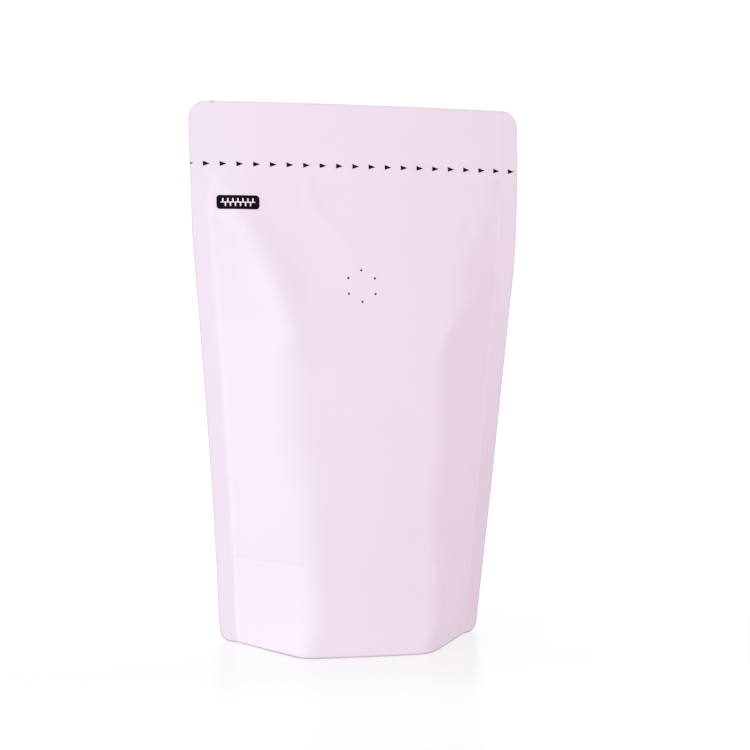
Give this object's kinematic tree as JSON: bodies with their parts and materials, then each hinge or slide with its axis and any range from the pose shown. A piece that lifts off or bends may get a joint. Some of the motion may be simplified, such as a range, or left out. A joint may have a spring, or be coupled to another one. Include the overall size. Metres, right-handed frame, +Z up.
{
  "type": "stand-up coffee pouch",
  "caption": "Filled stand-up pouch of matte film with a flat header, press-to-close strip, side fins, folded bottom gusset and valve pinholes.",
  "frame": {"origin": "on the surface that the pouch stands on, under the middle of the base", "axes": "+X across the pouch, to the viewer's right when facing the printed front; -Y out of the printed front; +Z up"},
  "size_m": [0.1302, 0.0542, 0.2095],
  "materials": {
    "film": "matte laminate film, pale lilac pink",
    "ink": "matte black print"
  },
  "bodies": {
    "root": {"pouch": "film"}
  },
  "joints": []
}
